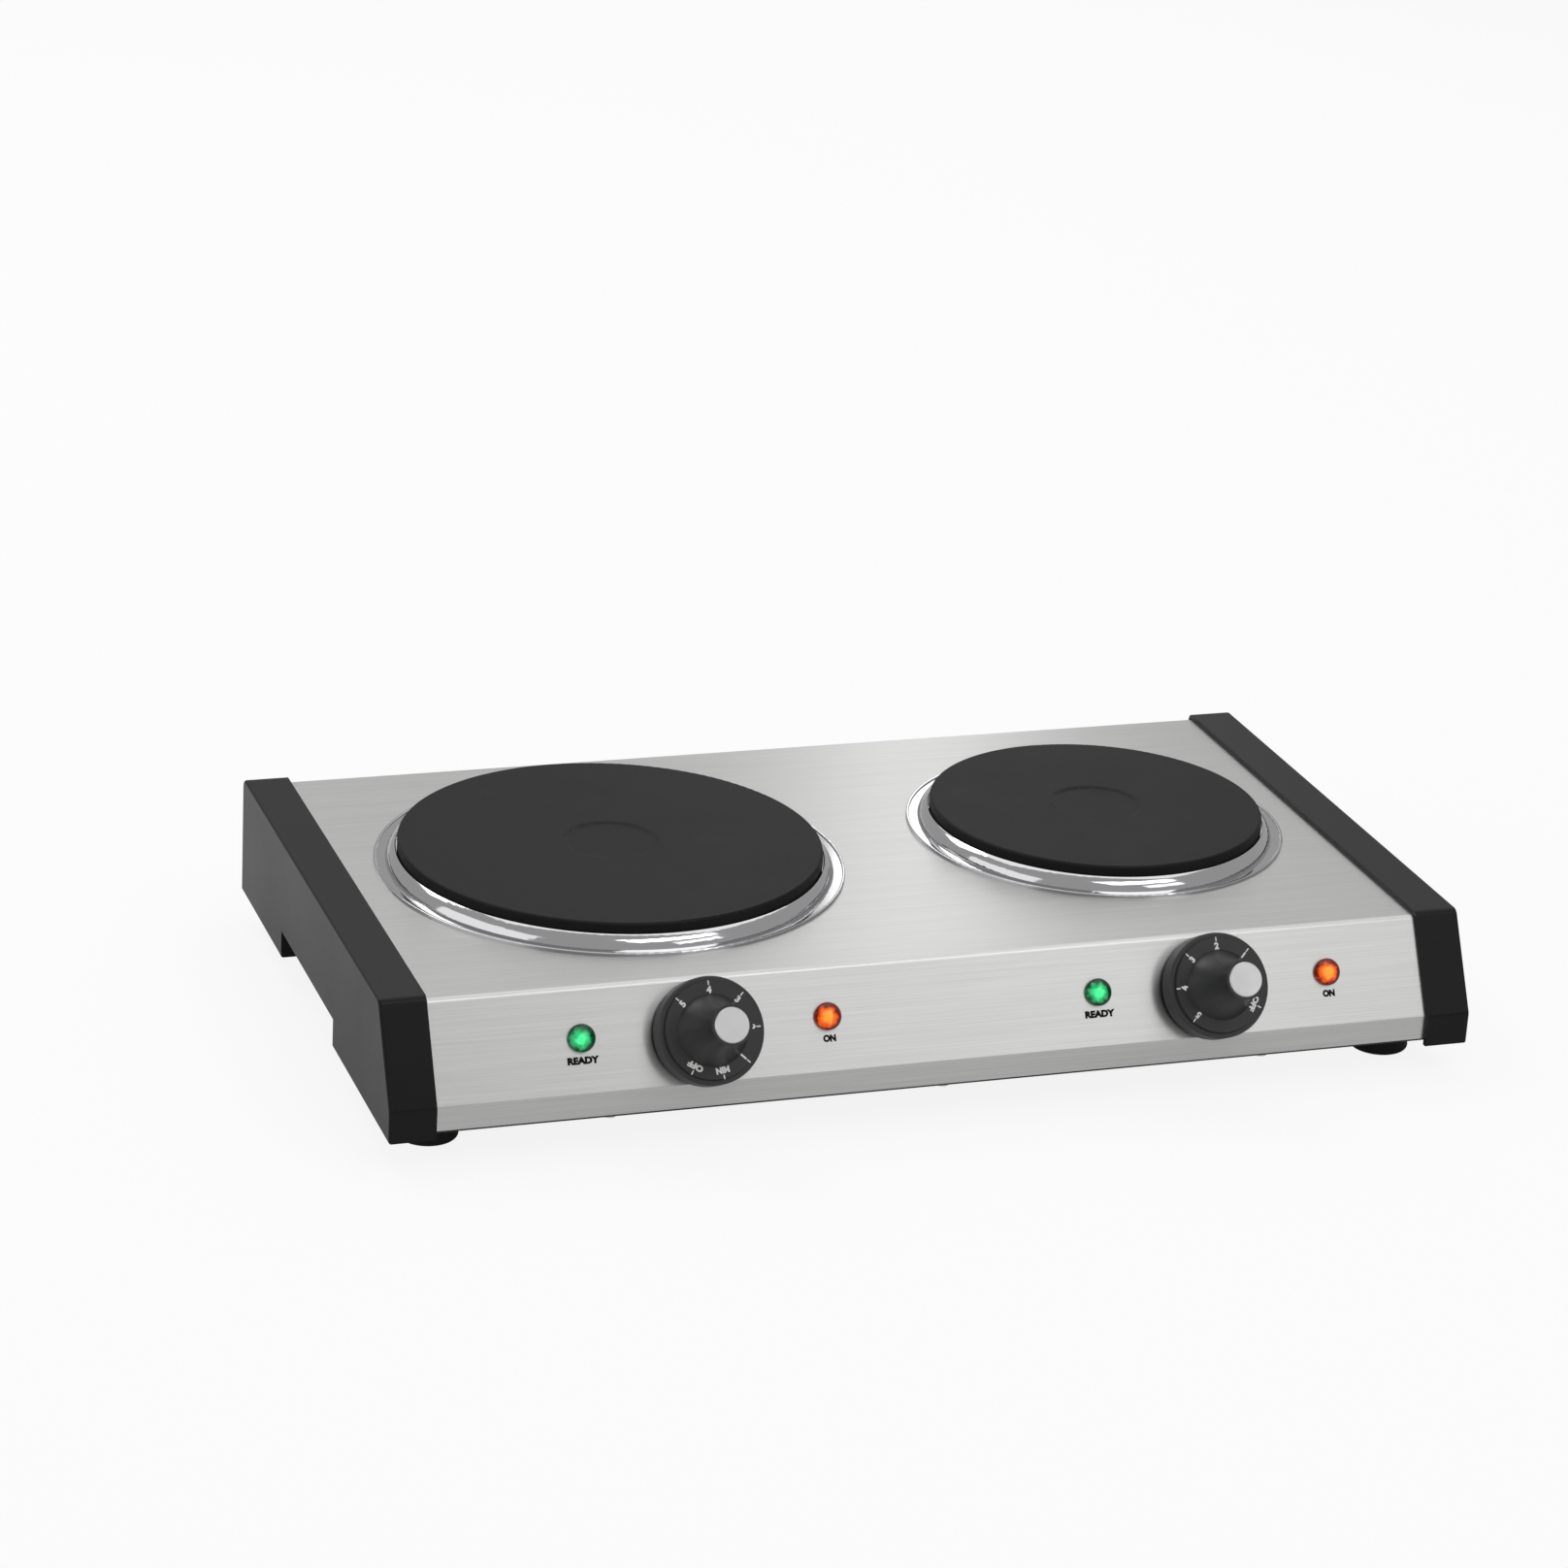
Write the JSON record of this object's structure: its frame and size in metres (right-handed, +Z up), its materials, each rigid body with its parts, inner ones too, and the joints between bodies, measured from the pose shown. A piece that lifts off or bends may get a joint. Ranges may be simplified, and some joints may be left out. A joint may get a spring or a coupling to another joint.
{
  "type": "hot plate burner",
  "caption": "Countertop electric hot plate with a large and a small cast-iron plate, a folded steel body with plastic end caps, and turning dial knobs on a sloped front.",
  "frame": {"origin": "under the middle of the whole box, on the table that the feet stand on", "axes": "+X along the front to the right as seen from the front, +Y from the knobs to the back, +Z up"},
  "size_m": [0.495, 0.3048, 0.0784],
  "materials": {
    "brushed_steel": "brushed along the length",
    "cap_plastic": "fine grained",
    "base_steel": "matt paint",
    "chrome": "polished",
    "cast_iron": "matt heat-proof coating",
    "foot_rubber": "matt",
    "knob_plastic": "satin black",
    "knob_metal": "satin",
    "lens_green": "clear dyed, domed",
    "lens_amber": "clear dyed, domed",
    "zinc_steel": "zinc plated",
    "sheath_steel": "dark heat-proof alloy",
    "fibre_board": "pressed ceramic fibre",
    "moulded_brown": "moulded heat-proof resin",
    "brass": "turned",
    "block_plastic": "moulded",
    "gland_plastic": "moulded",
    "neon_glass": "clear",
    "lead_black": "sleeved",
    "lead_white": "sleeved",
    "lead_green": "sleeved"
  },
  "bodies": {
    "chassis": {"body_shell": "brushed_steel", "left_end_cap": "cap_plastic", "right_end_cap": "cap_plastic", "base_plate": "base_steel", "front_left_foot": "foot_rubber", "front_right_foot": "foot_rubber", "rear_left_foot": "foot_rubber", "rear_right_foot": "foot_rubber", "foot_screws": "zinc_steel", "foot_nuts": "zinc_steel", "base_screws": "zinc_steel", "end_cap_screws": "zinc_steel", "terminal_block_screws": "zinc_steel", "earth_screw": "brass", "plate_washers": "zinc_steel", "plate_nuts": "zinc_steel", "bushing_nuts": "brass", "lens_clips": "zinc_steel", "neon_lamps": "neon_glass", "terminal_block": "block_plastic", "cord_gland": "gland_plastic", "gland_nut": "gland_plastic", "earth_lead": "lead_green", "left_ready_lens": "lens_green", "left_on_lens": "lens_amber", "right_ready_lens": "lens_green", "right_on_lens": "lens_amber", "large_trim_ring": "chrome", "large_hot_plate": "cast_iron", "large_heating_element": "sheath_steel", "large_insulation_disc": "fibre_board", "large_heat_shield": "zinc_steel", "large_clamp_bridge": "zinc_steel", "large_plate_stud": "zinc_steel", "small_trim_ring": "chrome", "small_hot_plate": "cast_iron", "small_heating_element": "sheath_steel", "small_insulation_disc": "fibre_board", "small_heat_shield": "zinc_steel", "small_clamp_bridge": "zinc_steel", "small_plate_stud": "zinc_steel", "left_thermostat": "moulded_brown", "left_shaft_bushing": "brass", "left_live_lead": "lead_black", "left_switched_lead": "lead_black", "left_neutral_lead": "lead_white", "right_thermostat": "moulded_brown", "right_shaft_bushing": "brass", "right_live_lead": "lead_black", "right_switched_lead": "lead_black", "right_neutral_lead": "lead_white"},
    "left_control": {"left_control_shaft": "zinc_steel", "left_knob": "knob_plastic", "left_knob_cap": "knob_metal"},
    "right_control": {"right_control_shaft": "zinc_steel", "right_knob": "knob_plastic", "right_knob_cap": "knob_metal"}
  },
  "joints": [
    {"name": "left_knob_turn", "type": "hinge", "parent": "chassis", "child": "left_control", "pos_m": [-0.108, -0.11304, 0.0464], "axis": [0, 0.878, -0.4787], "range_deg": [-213, 45]},
    {"name": "right_knob_turn", "type": "hinge", "parent": "chassis", "child": "right_control", "pos_m": [0.1247, -0.11304, 0.0464], "axis": [0, 0.878, -0.4787], "range_deg": [-123, 135]}
  ]
}
